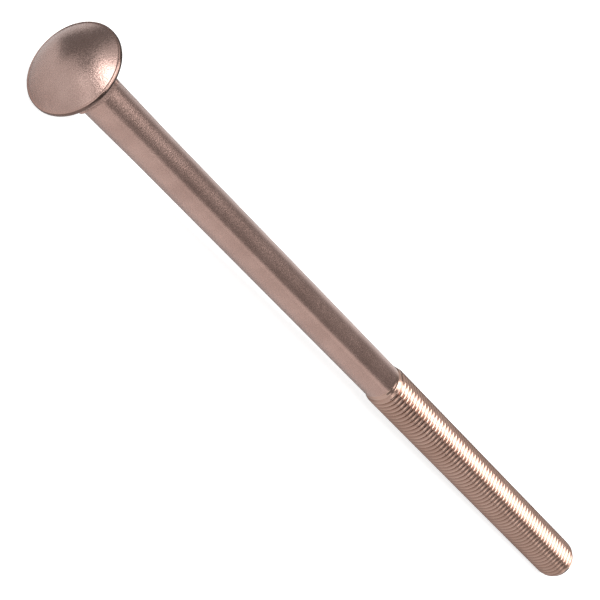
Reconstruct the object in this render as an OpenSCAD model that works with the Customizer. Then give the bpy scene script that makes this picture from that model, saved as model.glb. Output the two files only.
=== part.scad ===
// Carriage bolt, one forging with a rolled thread, lying at rest on its head's rim and its threaded end.
// Millimetres. The bolt points along +X and leans down to its point, with the ground at Z = 0.
// The outside of the thread is a plain cylinder at its crests.

/* [Head] */
// Diameter across the round head
head_d = 26.6; // [22:0.1:34]
// Height of the head above its flat underside
head_h = 6.2; // [4.5:0.1:9]
// Height of the head's side at the rim
rim_h = 1.5; // [1.2:0.1:2.4]
// Rounding of the rim's two edges
rim_round = 0.5; // [0.2:0.05:0.55]
// Width of the ledge where the dome meets the rim
rim_ledge = 0.15; // [0.05:0.05:0.5]

/* [Square neck] */
// Distance across the neck's flats
neck_w = 12.7; // [12:0.1:14]
// Depth of the neck under the head
neck_len = 8.9; // [5:0.1:12]
// Rounding of the neck's four corners
neck_round = 1.3; // [0.4:0.1:2]
// Length over which the corners slope down to the shank
neck_lead = 2; // [0.8:0.1:3.5]
// Turn of the square about the bolt's axis
neck_turn = -25; // [-45:1:45]

/* [Shank] */
// Length of the whole bolt under the head
bolt_len = 304.8; // [220:0.1:400]
// Diameter of the plain shank
shank_d = 11.35; // [10.6:0.05:11.45]
// Diameter where the shank leaves the neck
swell_d = 11.85; // [11.5:0.05:11.95]
// Length over which the swelling fades
swell_len = 30; // [5:1:60]

/* [Thread] */
// Diameter over the thread's crests
thread_d = 12.52; // [12.2:0.01:12.7]
// Length of the full thread, with its point
thread_len = 126.2; // [30:0.1:130]
// Length of the runout from the shank to the full thread
runout_len = 2.4; // [1:0.1:6]
// Length of the rounded point
point_len = 3.8; // [2:0.1:6]
// Diameter of the flat end face
point_d = 10.5; // [9:0.1:11.5]

/* [Hidden] */
$fn = 120;
head_r = head_d / 2;
shank_r = shank_d / 2;
swell_r = swell_d / 2;
thread_r = thread_d / 2;
point_r = point_d / 2;
// The dome is part of a ball and meets the rim at the inner edge of its ledge
rim_flat = head_r - rim_round;
dome_base = rim_flat - rim_ledge;
dome_h = head_h - rim_h;
dome_r = (dome_base * dome_base + dome_h * dome_h) / (2 * dome_h);
// Reach of the neck's corners from the axis
corner_reach = (neck_w / 2 - neck_round) * sqrt(2) + neck_round;
lead_slope = (corner_reach - swell_r) / neck_lead;
// How far the cone that cuts the corners back runs on inside the shank
lead_sink = 0.4;
// The swelling starts inside the neck and passes its end at swell_d
swell_slope = (swell_r - shank_r) / swell_len;
swell_from = neck_len - neck_lead / 2;
swell_end = neck_len + swell_len;
// Where the shank ends and the full thread begins
thread_start = bolt_len - thread_len;
shank_end = thread_start - runout_len;
// The point's arc leaves the thread's outside smoothly and ends at the flat face
point_drop = thread_r - point_r;
point_arc = (point_len * point_len + point_drop * point_drop) / (2 * point_drop);
point_start = bolt_len - point_len;
// Lean at which the rim's lower rounding and the point's arc both touch the ground
rest_rise = rim_flat - thread_r + point_arc;
rest_run = point_start + rim_round;
lean = atan2(rest_rise, rest_run) + asin((rim_round - point_arc) / norm([rest_rise, rest_run]));
lift = rim_flat * cos(lean) + rim_round - rim_round * sin(lean);
x_low = (dome_r - head_h) * cos(lean) - dome_r;
x_high = bolt_len * cos(lean) + point_r * sin(lean);

// Half of the rim's section, with the axis on the left and the underside at the top
module rim_section() {
    square_h = rim_h - 2 * rim_round;
    translate([0, -rim_h])
        square([rim_flat, rim_h]);
    translate([0, -rim_round - square_h])
        square([head_r, square_h]);
    translate([rim_flat, -rim_round])
        circle(r = rim_round);
    translate([rim_flat, rim_round - rim_h])
        circle(r = rim_round);
}

// Round cup head, with its underside at Z = 0 and its dome below
module head() {
    rotate_extrude()
        rim_section();
    intersection() {
        translate([0, 0, dome_r - head_h])
            sphere(r = dome_r);
        translate([0, 0, -head_h - 1])
            cylinder(h = dome_h + 1, r = head_r);
    }
}

module neck_section() {
    straight = neck_w - 2 * neck_round;
    square([neck_w, straight], center = true);
    square([straight, neck_w], center = true);
    for (a = [0, 90, 180, 270])
        rotate(a)
            translate([straight / 2, straight / 2])
                circle(r = neck_round);
}

// Square neck whose corners are cut back by a cone to the shank
module neck() {
    cone_h = neck_len + rim_h + lead_sink;
    cone_tip = swell_r - lead_sink * lead_slope;
    rotate(neck_turn)
        intersection() {
            translate([0, 0, -rim_h / 2])
                linear_extrude(height = neck_len + rim_h / 2 + lead_sink)
                    neck_section();
            translate([0, 0, -rim_h])
                cylinder(h = cone_h, r1 = cone_tip + cone_h * lead_slope, r2 = cone_tip);
        }
}

// Half of the section of the shank, the runout and the thread's outside, with the axis on the left
module shank_section() {
    polygon([
        [0, swell_from],
        [swell_r + swell_slope * neck_lead / 2, swell_from],
        [shank_r, swell_end],
        [shank_r, shank_end],
        [thread_r, thread_start],
        [thread_r, point_start],
        [0, point_start]
    ]);
}

// Half of the section of the rounded point
module point_section() {
    intersection() {
        translate([thread_r - point_arc, 0])
            circle(r = point_arc);
        square([thread_r, point_len]);
    }
}

// Plain shank of reduced diameter, a little fuller where it leaves the neck, and the threaded end
module shank() {
    rotate_extrude() {
        shank_section();
        translate([0, point_start])
            point_section();
    }
}

module carriage_bolt() {
    color([0.69, 0.57, 0.53])
        translate([-(x_low + x_high) / 2, 0, lift])
            rotate([0, 90 + lean, 0])
                union() {
                    head();
                    neck();
                    shank();
                }
}

carriage_bolt();
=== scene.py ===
import bpy
import bmesh
from math import asin, atan2, cos, floor, pi, radians, sin, sqrt, tau
from mathutils import Matrix, Vector


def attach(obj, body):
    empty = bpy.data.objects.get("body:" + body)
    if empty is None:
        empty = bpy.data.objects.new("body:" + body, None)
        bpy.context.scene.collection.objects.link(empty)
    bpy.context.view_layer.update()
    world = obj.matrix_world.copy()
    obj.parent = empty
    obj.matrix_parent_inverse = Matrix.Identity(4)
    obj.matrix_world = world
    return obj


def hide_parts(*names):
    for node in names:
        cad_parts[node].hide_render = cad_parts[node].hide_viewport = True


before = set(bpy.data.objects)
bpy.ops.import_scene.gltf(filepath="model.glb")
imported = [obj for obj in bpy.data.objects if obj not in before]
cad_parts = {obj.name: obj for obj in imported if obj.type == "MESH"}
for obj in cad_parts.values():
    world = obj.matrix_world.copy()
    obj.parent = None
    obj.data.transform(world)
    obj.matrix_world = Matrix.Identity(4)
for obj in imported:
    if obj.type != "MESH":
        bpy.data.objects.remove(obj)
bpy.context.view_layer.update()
scene = bpy.context.scene
scene.view_settings.view_transform = "Standard"


def clamp(value):
    return max(0.0, min(1.0, value))


def smooth(value):
    value = clamp(value)
    return value * value * (3 - 2 * value)


# camera: a long lens that looks down past the head and along the bolt
camera = {
    "place": (-0.76995, -0.52948, 0.34285),
    "right": (0.464454, -0.100819, 0.87984),
    "up": (-0.444362, 0.832849, 0.330006),
    "lens": 213.92,
    "sensor": 36.0,
    "reach": 30,
}


def addCamera(setting):
    data = bpy.data.cameras.new("camera")
    data.lens = setting["lens"]
    data.sensor_width = setting["sensor"]
    data.clip_end = setting["reach"]
    right = Vector(setting["right"]).normalized()
    up = Vector(setting["up"]).normalized()
    turn = Matrix((right, up, right.cross(up))).transposed().to_4x4()
    obj = bpy.data.objects.new("camera", data)
    obj.matrix_world = Matrix.Translation(setting["place"]) @ turn
    scene.collection.objects.link(obj)
    scene.camera = obj
    print("camera placed")


addCamera(camera)

millimetre = 0.001

# the bolt: millimetres, with places along its axis from the head's underside, and degrees
bolt = {
    "headDiameter": 26.6,
    "headHeight": 6.2,
    "rimHeight": 1.5,
    "rimRound": 0.5,
    "rimLedge": 0.15,
    "neckWidth": 12.7,
    "neckLength": 8.9,
    "neckRound": 1.3,
    "neckLead": 2.0,
    "neckTurn": -25.0,
    "neckFillet": 0.3,
    "boltLength": 304.8,
    "shankDiameter": 11.35,
    "swellDiameter": 11.85,
    "swellLength": 30.0,
    "threadDiameter": 12.52,
    "threadLength": 126.2,
    "threadDepth": 1.16,
    "pitch": 1.9538,
    "firstCrest": 177.0,
    "runoutLength": 2.4,
    "threadFrom": 173.5,
    "grooveStart": -1.22,
    "grooveFade": 0.25,
    "pointLength": 3.8,
    "pointDiameter": 10.5,
    "lean": 1.3372385,
    "underside": (-149.318, 0.0, 13.285),
    "linesRound": 104,
    "cornerCrowding": 0.13,
    "shankRings": (150, 125, 100, 75, 50),
    "swellSteps": 6,
    "leadSteps": 16,
    "flatSteps": (0.35, 0.7),
    "rimSteps": 5,
    "domeSteps": 33,
    "spareTurns": 2,
    "spareLength": 0.5,
    "mergeDistance": 0.002,
    "cutDistance": 0.0005,
    "edgeReach": 0.1,
    "sharpAngle": 38,
}

# one turn of the thread: part of the pitch from a crest, and height from root to crest
threadForm = [
    (0.0, 1.0), (0.082, 0.963), (0.142, 0.862), (0.165, 0.795), (0.387, 0.147), (0.407, 0.089),
    (0.5, 0.0), (0.593, 0.089), (0.613, 0.147), (0.835, 0.795), (0.858, 0.862), (0.918, 0.963),
]


def threadHeight(turns):
    part = turns - floor(turns)
    steps = threadForm + [(1.0, 1.0)]
    for (fromPart, fromHeight), (toPart, toHeight) in zip(steps, steps[1:]):
        if part <= toPart:
            return fromHeight + (toHeight - fromHeight) * (part - fromPart) / (toPart - fromPart)


def crestLimit(x, size):
    # radius that the crests reach: the runout's cone, the full thread, and the rounded point
    shank = size["shankDiameter"] / 2
    full = size["threadDiameter"] / 2
    begin = size["boltLength"] - size["threadLength"]
    pointBegin = size["boltLength"] - size["pointLength"]
    if x < begin:
        return shank + (full - shank) * clamp(1 - (begin - x) / size["runoutLength"])
    if x > pointBegin:
        drop = full - size["pointDiameter"] / 2
        arc = (size["pointLength"] ** 2 + drop ** 2) / (2 * drop)
        along = min(x - pointBegin, size["pointLength"] + size["spareLength"])
        return full - arc + sqrt(arc * arc - along * along)
    return full


def grooveLimit(turns, angle, size):
    # radius that the groove is cut down to, which falls along the first part of its helix
    shank = size["shankDiameter"] / 2
    root = size["threadDiameter"] / 2 - size["threadDepth"]
    along = floor(turns) + 0.5 + angle / tau
    return shank + (root - shank) * clamp((along - size["grooveStart"]) / size["grooveFade"])


def threadRadius(x, angle, size):
    turns = (x - size["firstCrest"]) / size["pitch"] - angle / tau
    form = size["threadDiameter"] / 2 - size["threadDepth"] * (1 - threadHeight(turns))
    return min(crestLimit(x, size), max(grooveLimit(turns, angle, size), form))


def neckRadius(angle, size):
    # a square with rounded corners, seen from the axis at this angle
    half = size["neckWidth"] / 2
    corner = size["neckRound"]
    side = radians(size["neckTurn"])
    part = abs((angle - side + pi / 4) % (pi / 2) - pi / 4)
    if half * sin(part) / cos(part) <= half - corner:
        return half / cos(part)
    centre = half - corner
    reach = centre * (cos(part) + sin(part))
    return reach + sqrt(reach * reach - 2 * centre * centre + corner * corner)


def rollThread(bm, size):
    # a straight line of turns is spun into a helix, pressed to the thread's form, and trimmed square
    lines = size["linesRound"]
    pitch = size["pitch"]
    begin = floor((size["threadFrom"] - size["firstCrest"]) / pitch) - size["spareTurns"]
    end = floor((size["boltLength"] - size["firstCrest"]) / pitch) + size["spareTurns"]
    line = []
    for turn in range(begin, end):
        for part, _ in threadForm:
            x = size["firstCrest"] + pitch * (turn + part)
            line.append(bm.verts.new((x, size["shankDiameter"] / 2, 0)))
    edges = [bm.edges.new(pair) for pair in zip(line, line[1:])]
    bmesh.ops.spin(bm, geom=line + edges, cent=(0, 0, 0), axis=(1, 0, 0), dvec=(pitch / lines, 0, 0),
                   angle=tau, steps=lines, use_merge=False)
    bmesh.ops.remove_doubles(bm, verts=bm.verts[:], dist=size["mergeDistance"])
    for vert in bm.verts:
        angle = atan2(vert.co.z, vert.co.y)
        radius = threadRadius(vert.co.x, angle, size)
        vert.co.y = radius * cos(angle)
        vert.co.z = radius * sin(angle)
    for place, normal in ((size["boltLength"], 1), (size["threadFrom"], -1)):
        everything = bm.verts[:] + bm.edges[:] + bm.faces[:]
        bmesh.ops.bisect_plane(bm, geom=everything, dist=size["cutDistance"], plane_co=(place, 0, 0),
                               plane_no=(normal, 0, 0), clear_outer=True)


def openEdges(bm, place, reach):
    def middle(edge):
        return (edge.verts[0].co.x + edge.verts[1].co.x) / 2

    return [edge for edge in bm.edges if edge.is_boundary and abs(middle(edge) - place) < reach]


def closePoint(bm, size):
    bmesh.ops.edgeloop_fill(bm, edges=openEdges(bm, size["boltLength"], size["edgeReach"]))


def openShank(bm, size):
    # the loop where the thread was trimmed is made round, and each line keeps its angle in a layer
    turn = bm.verts.layers.float.new("turn")
    edges = openEdges(bm, size["threadFrom"], size["edgeReach"])
    for vert in {vert for edge in edges for vert in edge.verts}:
        vert[turn] = atan2(vert.co.z, vert.co.y)
        vert.co.y = size["shankDiameter"] / 2 * cos(vert[turn])
        vert.co.z = size["shankDiameter"] / 2 * sin(vert[turn])
    return edges


def addRing(bm, edges, place):
    # the open loop is drawn out to a new ring, where place gives (along, radius, angle) for each line
    turn = bm.verts.layers.float["turn"]
    result = bmesh.ops.extrude_edge_only(bm, edges=edges)["geom"]
    verts = {item for item in result if isinstance(item, bmesh.types.BMVert)}
    for vert in verts:
        x, radius, angle = place(vert[turn])
        vert.co = (x, radius * cos(angle), radius * sin(angle))
    return [item for item in result if isinstance(item, bmesh.types.BMEdge) and set(item.verts) <= verts]


def crowd(angle, size):
    # brings the lines closer together at the square's corners
    return angle + size["cornerCrowding"] * sin(4 * (angle - radians(size["neckTurn"])))


def drawShank(bm, edges, size):
    # plain rings, then the swelling, over which the lines crowd together for the neck
    shank = size["shankDiameter"] / 2
    swell = size["swellDiameter"] / 2
    for x in (*size["shankRings"], size["neckLength"] + size["swellLength"]):
        edges = addRing(bm, edges, lambda turn: (x, shank, turn))
    for step in range(1, size["swellSteps"] + 1):
        part = step / size["swellSteps"]
        x = size["neckLength"] + size["swellLength"] * (1 - part)
        radius = swell + (shank - swell) * (1 - part)
        edges = addRing(bm, edges, lambda turn: (
            x, radius, turn + (crowd(turn, size) - turn) * smooth(part)))
    return edges


def drawNeck(bm, edges, size):
    # the square, whose corners a cone cuts back to the shank, and a small fillet under the head
    swell = size["swellDiameter"] / 2
    fillet = size["neckFillet"]
    reach = (size["neckWidth"] / 2 - size["neckRound"]) * sqrt(2) + size["neckRound"]
    slope = (reach - swell) / size["neckLead"]
    rows = [size["neckLength"] - size["neckLead"] * step / size["leadSteps"]
            for step in range(1, size["leadSteps"] + 2)]
    for x in rows + [fillet * 3, fillet, fillet / 3, 0.0]:
        cone = swell + (size["neckLength"] - x) * slope
        flare = fillet - sqrt(max(0.0, fillet ** 2 - (fillet - x) ** 2)) if x < fillet else 0.0
        edges = addRing(bm, edges, lambda turn: (
            x, min(neckRadius(crowd(turn, size), size), cone) + flare, crowd(turn, size)))
    return edges


def headRings(size):
    # (along, radius) of the rim's two roundings, the ledge and the dome
    rounding = size["rimRound"]
    rimFlat = size["headDiameter"] / 2 - rounding
    rings = []
    for step in range(size["rimSteps"] + 1):
        around = step / size["rimSteps"] * pi / 2
        rings.append((-rounding * (1 - cos(around)), rimFlat + rounding * sin(around)))
    for step in range(size["rimSteps"] + 1):
        around = (1 - step / size["rimSteps"]) * pi / 2
        rings.append((rounding * (1 - cos(around)) - size["rimHeight"], rimFlat + rounding * sin(around)))
    domeBase = rimFlat - size["rimLedge"]
    domeHeight = size["headHeight"] - size["rimHeight"]
    domeRadius = (domeBase ** 2 + domeHeight ** 2) / (2 * domeHeight)
    edgeAngle = asin(domeBase / domeRadius)
    rings.append((-size["rimHeight"], domeBase))
    for step in range(1, size["domeSteps"]):
        around = edgeAngle * (1 - step / size["domeSteps"])
        rings.append((domeRadius * (1 - cos(around)) - size["headHeight"], domeRadius * sin(around)))
    return rings


def drawHead(bm, edges, size):
    rimFlat = size["headDiameter"] / 2 - size["rimRound"]
    for part in size["flatSteps"]:
        edges = addRing(bm, edges, lambda turn: (
            0.0, (neckRadius(crowd(turn, size), size) + size["neckFillet"]) * (1 - part) + rimFlat * part,
            crowd(turn, size) * (1 - part) + turn * part))
    for x, radius in headRings(size):
        edges = addRing(bm, edges, lambda turn: (x, radius, turn))
    top = bmesh.ops.extrude_edge_only(bm, edges=edges)["geom"]
    tip = [item for item in top if isinstance(item, bmesh.types.BMVert)]
    bmesh.ops.pointmerge(bm, verts=tip, merge_co=(-size["headHeight"], 0, 0))


def makeBolt(size):
    bm = bmesh.new()
    rollThread(bm, size)
    closePoint(bm, size)
    edges = openShank(bm, size)
    edges = drawShank(bm, edges, size)
    edges = drawNeck(bm, edges, size)
    drawHead(bm, edges, size)
    bmesh.ops.recalc_face_normals(bm, faces=bm.faces[:])
    place = Matrix.Translation(Vector(size["underside"]) * millimetre)
    lean = Matrix.Rotation(radians(size["lean"]), 4, "Y")
    bmesh.ops.transform(bm, matrix=place @ lean @ Matrix.Scale(millimetre, 4), verts=bm.verts[:])
    openCount = sum(1 for edge in bm.edges if not edge.is_manifold)
    mesh = bpy.data.meshes.new("bronzeBolt")
    bm.to_mesh(mesh)
    bm.free()
    for polygon in mesh.polygons:
        polygon.use_smooth = True
    mesh.set_sharp_from_angle(angle=radians(size["sharpAngle"]))
    obj = bpy.data.objects.new("bronzeBolt", mesh)
    scene.collection.objects.link(obj)
    print("bolt made:", len(mesh.polygons), "faces,", openCount, "open edges")
    return obj


bronzeBolt = makeBolt(bolt)

# the bronze: linear colours, metres, and scales in features to the metre; a noise pair is detail and
# roughness, and any other pair is a value for each end of a span
bronze = {
    "headLight": (0.49, 0.343, 0.302),
    "headDark": (0.42, 0.286, 0.25),
    "light": (0.525, 0.347, 0.298),
    "dark": (0.455, 0.295, 0.252),
    "threadLight": (0.56, 0.378, 0.312),
    "threadDark": (0.48, 0.314, 0.253),
    # painted shade: the dark colour laid on the rim's side and on the neck just under the head
    "rimShade": (0.13, 0.085, 0.072),
    # valley: painted shade, the darker colour laid in the thread's roots where the flanks shade each other
    "valley": (0.27, 0.16, 0.12),
    "valleyRadius": (0.0055, 0.0062),
    "valleyPlace": (0.1765, 0.1795),
    "threadPlace": (0.1735, 0.1745),
    "headPlace": (-0.0017, -0.0013),
    "rimPlace": (-0.00143, -0.00132),
    "rimEnd": (0.0002, 0.0012),
    # how far the painted shade at the rim darkens the colour
    "rimShadeAmount": 0.85,
    "rimGloss": 0.13,
    "patchScale": 90,
    "patchNoise": (3.0, 0.6),
    "patchSpan": (0.35, 0.65),
    "grainScale": 2100,
    "grainNoise": (2.0, 0.55),
    "grainSpan": (0.3, 0.7),
    "fineScale": 4200,
    "fineNoise": (1.0, 0.5),
    "grainHeight": 0.00006,
    "fineHeight": 0.00003,
    "grainPlace": (0.03, 0.14),
    "grainStrength": (0.5, 0.1),
    "headGrain": 0.7,
    "threadGrain": 0.06,
    "headGloss": (0.22, 0.32),
    "shankGloss": (0.20, 0.30),
    "threadGloss": 0.17,
}


def addNode(tree, kind, name, **values):
    node = tree.nodes.new(kind)
    node.label = name
    for key, value in values.items():
        if hasattr(node, key):
            setattr(node, key, value)
        else:
            node.inputs[key].default_value = value
    return node


def noise(tree, name, vector, scale, detail, rough):
    node = addNode(tree, "ShaderNodeTexNoise", name, Scale=scale, Detail=detail, Roughness=rough)
    tree.links.new(vector, node.inputs["Vector"])
    return node.outputs["Fac"]


def ramp(tree, name, source, span, ends=(0.0, 1.0)):
    node = addNode(tree, "ShaderNodeMapRange", name)
    for key, value in zip(("From Min", "From Max", "To Min", "To Max"), (*span, *ends)):
        node.inputs[key].default_value = value
    tree.links.new(source, node.inputs["Value"])
    return node.outputs["Result"]


# a Mix node keeps its factor at input 0, its numbers at 2 and 3, and its colours at 6 and 7
def mixColor(tree, name, amount, first, second):
    node = addNode(tree, "ShaderNodeMix", name, data_type="RGBA")
    tree.links.new(amount, node.inputs[0])
    for slot, value in ((6, first), (7, second)):
        if isinstance(value, tuple):
            node.inputs[slot].default_value = (*value, 1)
        else:
            tree.links.new(value, node.inputs[slot])
    return node.outputs[2]


def mixNumber(tree, name, amount, first, second):
    node = addNode(tree, "ShaderNodeMix", name, data_type="FLOAT")
    tree.links.new(amount, node.inputs[0])
    for slot, value in ((2, first), (3, second)):
        if isinstance(value, (int, float)):
            node.inputs[slot].default_value = value
        else:
            tree.links.new(value, node.inputs[slot])
    return node.outputs[0]


def boltPlaces(tree, size):
    # turned to the bolt's own axis, from the head's underside: the point, its way along and its radius
    place = addNode(tree, "ShaderNodeTexCoord", "place")
    turned = addNode(tree, "ShaderNodeMapping", "along the bolt", vector_type="TEXTURE")
    turned.inputs["Location"].default_value = Vector(size["underside"]) * millimetre
    turned.inputs["Rotation"].default_value = (0, radians(size["lean"]), 0)
    tree.links.new(place.outputs["Object"], turned.inputs["Vector"])
    axes = addNode(tree, "ShaderNodeSeparateXYZ", "axes")
    tree.links.new(turned.outputs["Vector"], axes.inputs["Vector"])
    flat = addNode(tree, "ShaderNodeVectorMath", "across", operation="MULTIPLY")
    flat.inputs[1].default_value = (0, 1, 1)
    tree.links.new(turned.outputs["Vector"], flat.inputs[0])
    radius = addNode(tree, "ShaderNodeVectorMath", "radius", operation="LENGTH")
    tree.links.new(flat.outputs["Vector"], radius.inputs[0])
    return turned.outputs["Vector"], axes.outputs["X"], radius.outputs["Value"]


# painted shade: darkens the rim's side and the neck just under the head, fading out along the neck
def rimShadeMask(tree, setting, along):
    under = ramp(tree, "under the rim", along, setting["rimPlace"], (0.0, setting["rimShadeAmount"]))
    past = ramp(tree, "past the rim", along, setting["rimEnd"])
    return mixNumber(tree, "near the rim", past, under, 0.0)


# painted shade: below the crests the thread's colour turns to the valley colour, fully in the roots, from a
# little past the thread's start
def valleyShadeMask(tree, setting, along, radius):
    inside = ramp(tree, "in the valley", radius, setting["valleyRadius"], (1.0, 0.0))
    start = ramp(tree, "valley start", along, setting["valleyPlace"])
    return mixNumber(tree, "deep in the thread", start, 0.0, inside)


def bronzeTone(tree, setting, patches, offHead, onThread, rimShadeZone, deep):
    head = mixColor(tree, "head tone", patches, setting["headDark"], setting["headLight"])
    shank = mixColor(tree, "shank tone", patches, setting["dark"], setting["light"])
    plain = mixColor(tree, "plain tone", offHead, head, shank)
    # painted shade on the rim's side and the neck under the head
    body = mixColor(tree, "painted rim shade", rimShadeZone, plain, setting["rimShade"])
    rolled = mixColor(tree, "thread tone", patches, setting["threadDark"], setting["threadLight"])
    # painted shade in the thread's valleys
    valleyShaded = mixColor(tree, "painted valley shade", deep, rolled, setting["valley"])
    return mixColor(tree, "tone", onThread, body, valleyShaded)


def bronzeGloss(tree, setting, grain, offHead, onThread, rimShadeZone):
    head = ramp(tree, "head gloss", grain, setting["grainSpan"], setting["headGloss"])
    shank = ramp(tree, "shank gloss", grain, setting["grainSpan"], setting["shankGloss"])
    plain = mixNumber(tree, "gloss off the rim", offHead, head, shank)
    body = mixNumber(tree, "gloss off the thread", rimShadeZone, plain, setting["rimGloss"])
    return mixNumber(tree, "gloss", onThread, body, setting["threadGloss"])


def bronzeGrain(tree, setting, vector, along, grain, offHead, onThread):
    # the grain's relief is strongest on the head, fades along the shank and is slight on the thread
    fading = ramp(tree, "grain along the shank", along, setting["grainPlace"], setting["grainStrength"])
    offThread = mixNumber(tree, "grain off the thread", offHead, setting["headGrain"], fading)
    strength = mixNumber(tree, "grain strength", onThread, offThread, setting["threadGrain"])
    fine = noise(tree, "fine grain", vector, setting["fineScale"], *setting["fineNoise"])
    coarse = addNode(tree, "ShaderNodeBump", "grain relief", Distance=setting["grainHeight"])
    small = addNode(tree, "ShaderNodeBump", "fine relief", Distance=setting["fineHeight"])
    for relief, height in ((coarse, grain), (small, fine)):
        tree.links.new(strength, relief.inputs["Strength"])
        tree.links.new(height, relief.inputs["Height"])
    tree.links.new(coarse.outputs["Normal"], small.inputs["Normal"])
    return small.outputs["Normal"]


def makeBronze(setting, size):
    material = bpy.data.materials.new("bronze")
    material.use_nodes = True
    tree = material.node_tree
    shader = tree.nodes["Principled BSDF"]
    shader.inputs["Metallic"].default_value = 1.0
    vector, along, radius = boltPlaces(tree, size)
    cloudy = noise(tree, "patch noise", vector, setting["patchScale"], *setting["patchNoise"])
    patches = ramp(tree, "patches", cloudy, setting["patchSpan"])
    grain = noise(tree, "grain", vector, setting["grainScale"], *setting["grainNoise"])
    offHead = ramp(tree, "off the head", along, setting["headPlace"])
    onThread = ramp(tree, "on the thread", along, setting["threadPlace"])
    rimShadeZone = rimShadeMask(tree, setting, along)
    deep = valleyShadeMask(tree, setting, along, radius)
    tone = bronzeTone(tree, setting, patches, offHead, onThread, rimShadeZone, deep)
    gloss = bronzeGloss(tree, setting, grain, offHead, onThread, rimShadeZone)
    relief = bronzeGrain(tree, setting, vector, along, grain, offHead, onThread)
    for socket, value in (("Base Color", tone), ("Roughness", gloss), ("Normal", relief)):
        tree.links.new(value, shader.inputs[socket])
    return material


bronzeBolt.data.materials.append(makeBronze(bronze, bolt))
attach(bronzeBolt, "root")
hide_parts("carriage_bolt")
print("bronze finished")

# the studio: metres; the lifts brighten the floor for the camera and for what the metal mirrors, 1 is white
studio = {
    "floorSize": 6,
    "floorColor": 0.55,
    "cameraLift": 0.82,
    "mirrorLift": 0.2,
    "world": 0.25,
}

# softboxes hang face down over the bolt; brightness 1 is white, and shineOnly shows in the metal alone
softboxes = {
    "nearBox": {"place": (-1.25, -0.375, 1.0), "size": (1.3, 1.25), "brightness": 3.9},
    "cornerBox": {"place": (-2.0, 0.4, 1.01), "size": (1.0, 1.1), "brightness": 1.1},
    "farBox": {"place": (0.1, -0.375, 1.0), "size": (1.4, 1.25), "brightness": 1.7},
    "edgeBox": {"place": (-1.1, 0.825, 1.0), "size": (1.8, 1.15), "brightness": 0.58},
    "shine": {"place": (-0.02, -0.375, 1.02), "size": (1.16, 1.25), "brightness": 3.2, "shineOnly": True},
    "bandShine": {"place": (-1.63, -0.03, 1.02), "size": (0.46, 0.5), "brightness": 4.0, "shineOnly": True},
}


def makeFloor(setting):
    bm = bmesh.new()
    bmesh.ops.create_grid(bm, x_segments=1, y_segments=1, size=setting["floorSize"])
    mesh = bpy.data.meshes.new("floor")
    bm.to_mesh(mesh)
    bm.free()
    floorPlane = bpy.data.objects.new("floor", mesh)
    scene.collection.objects.link(floorPlane)
    mesh.materials.append(paleFloor(setting))
    print("floor laid")


def paleFloor(setting):
    material = bpy.data.materials.new("pale floor")
    material.use_nodes = True
    tree = material.node_tree
    tree.nodes.remove(tree.nodes["Principled BSDF"])
    matt = addNode(tree, "ShaderNodeBsdfDiffuse", "matt")
    shade = setting["floorColor"]
    matt.inputs["Color"].default_value = (shade, shade, shade, 1)
    glow = addNode(tree, "ShaderNodeEmission", "lift")
    rays = addNode(tree, "ShaderNodeLightPath", "rays")
    mirror = addNode(tree, "ShaderNodeMath", "glossy or transmission", operation="MAXIMUM")
    mirrored = addNode(tree, "ShaderNodeMath", "mirrored lift", operation="MULTIPLY")
    mirrored.inputs[1].default_value = setting["mirrorLift"]
    amount = addNode(tree, "ShaderNodeMath", "with camera lift", operation="MULTIPLY_ADD")
    amount.inputs[1].default_value = setting["cameraLift"]
    both = addNode(tree, "ShaderNodeAddShader", "both")
    tree.links.new(rays.outputs["Is Glossy Ray"], mirror.inputs[0])
    tree.links.new(rays.outputs["Is Transmission Ray"], mirror.inputs[1])
    tree.links.new(mirror.outputs[0], mirrored.inputs[0])
    tree.links.new(rays.outputs["Is Camera Ray"], amount.inputs[0])
    tree.links.new(mirrored.outputs[0], amount.inputs[2])
    tree.links.new(amount.outputs[0], glow.inputs["Strength"])
    tree.links.new(matt.outputs[0], both.inputs[0])
    tree.links.new(glow.outputs[0], both.inputs[1])
    tree.links.new(both.outputs[0], tree.nodes["Material Output"].inputs["Surface"])
    return material


def makeWorld(setting):
    world = bpy.data.worlds.new("studio")
    world.use_nodes = True
    scene.world = world
    back = world.node_tree.nodes["Background"]
    back.inputs["Color"].default_value = (1, 1, 1, 1)
    back.inputs["Strength"].default_value = setting["world"]


def addSoftbox(name, setting):
    data = bpy.data.lights.new(name, "AREA")
    data.shape = "RECTANGLE"
    data.size, data.size_y = setting["size"]
    data.energy = setting["brightness"] * pi * data.size * data.size_y
    obj = bpy.data.objects.new(name, data)
    obj.location = setting["place"]
    obj.visible_camera = False
    obj.visible_diffuse = "shineOnly" not in setting
    scene.collection.objects.link(obj)


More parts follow.
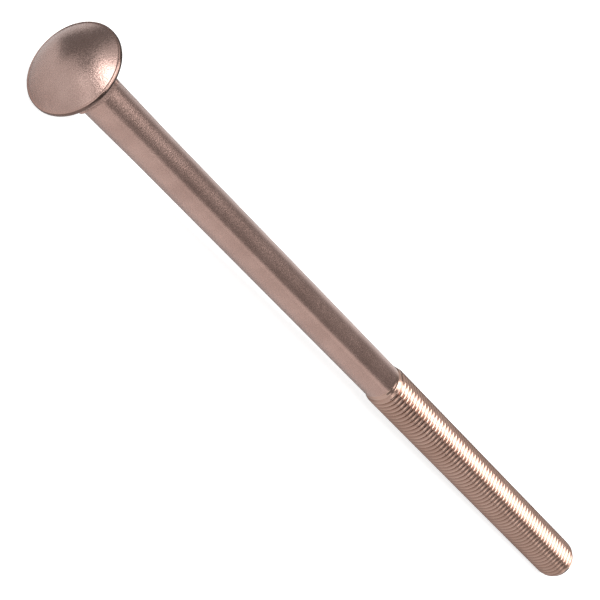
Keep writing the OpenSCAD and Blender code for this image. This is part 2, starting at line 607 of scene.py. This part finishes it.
# cards are bent round a middle at a radius: degrees round from +X and up from level, and the brightness
# at the lower and upper edge
cards = {
    "sweep": {"middle": (0, 0, 0), "radius": 1.3, "round": (-60, 48), "up": (0.5, 13), "glow": (1.0, 1.0)},
    "upperSweep": {"middle": (0, 0, 0), "radius": 1.3, "round": (14, 48), "up": (13, 32),
                   "glow": (0.95, 0.2)},
    "fill": {"middle": (0, 0, 0), "radius": 1.3, "round": (175, 235), "up": (0.5, 20), "glow": (2.0, 0.22)},
    "sideCard": {"middle": (-0.15, 0, 0.0131), "radius": 0.036, "round": (98, 152), "up": (-22, 18),
                 "glow": (0.27, 0.27)},
}
cardFaces = (12, 8)  # round and up


def addCard(name, setting):
    bm = bmesh.new()
    bmesh.ops.create_grid(bm, x_segments=cardFaces[0], y_segments=cardFaces[1], size=1)
    layer = bm.verts.layers.float.new("glow")
    turnFrom, turnTo = setting["round"]
    upFrom, upTo = setting["up"]
    glowFrom, glowTo = setting["glow"]
    for vert in bm.verts:
        across = (vert.co.x + 1) / 2
        rise = (vert.co.y + 1) / 2
        turn = radians(turnFrom + (turnTo - turnFrom) * across)
        up = radians(upFrom + (upTo - upFrom) * rise)
        ray = Vector((cos(turn) * cos(up), sin(turn) * cos(up), sin(up)))
        vert[layer] = glowFrom + (glowTo - glowFrom) * rise
        vert.co = Vector(setting["middle"]) + ray * setting["radius"]
    mesh = bpy.data.meshes.new(name)
    bm.to_mesh(mesh)
    bm.free()
    mesh.materials.append(glowingCard(name))
    obj = bpy.data.objects.new(name, mesh)
    obj.visible_camera = False
    obj.visible_diffuse = False
    obj.visible_shadow = False
    obj.visible_transmission = False
    scene.collection.objects.link(obj)


def glowingCard(name):
    material = bpy.data.materials.new(name)
    material.use_nodes = True
    tree = material.node_tree
    tree.nodes.remove(tree.nodes["Principled BSDF"])
    glow = addNode(tree, "ShaderNodeAttribute", "glow", attribute_name="glow")
    light = addNode(tree, "ShaderNodeEmission", "card")
    tree.links.new(glow.outputs["Fac"], light.inputs["Strength"])
    tree.links.new(light.outputs[0], tree.nodes["Material Output"].inputs["Surface"])
    return material


makeFloor(studio)
makeWorld(studio)
for boxName, boxSetting in softboxes.items():
    addSoftbox(boxName, boxSetting)
for cardName, cardSetting in cards.items():
    addCard(cardName, cardSetting)
print("lights set")
